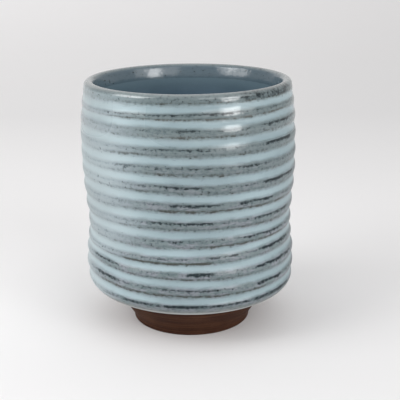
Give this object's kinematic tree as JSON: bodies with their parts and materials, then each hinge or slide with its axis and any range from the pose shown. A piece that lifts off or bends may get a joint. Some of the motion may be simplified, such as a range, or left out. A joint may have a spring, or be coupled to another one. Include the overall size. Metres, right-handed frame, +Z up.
{
  "type": "tea cup",
  "caption": "Tall handleless thrown tea cup with level finger ridges, pale glaze pooled in the grooves, a darker liner glaze inside and a bare turned foot ring.",
  "frame": {"origin": "centre of the foot ring's resting face, on the cup's axis", "axes": "+Z up along the cup's axis, from the foot to the mouth; the cup is round about it"},
  "size_m": [0.08, 0.08, 0.0934],
  "materials": {
    "stoneware": "matte",
    "pale_glaze": "gloss",
    "liner_glaze": "gloss"
  },
  "bodies": {
    "root": {"clay_body": "stoneware", "outer_glaze": "pale_glaze", "inner_glaze": "liner_glaze"}
  },
  "joints": []
}
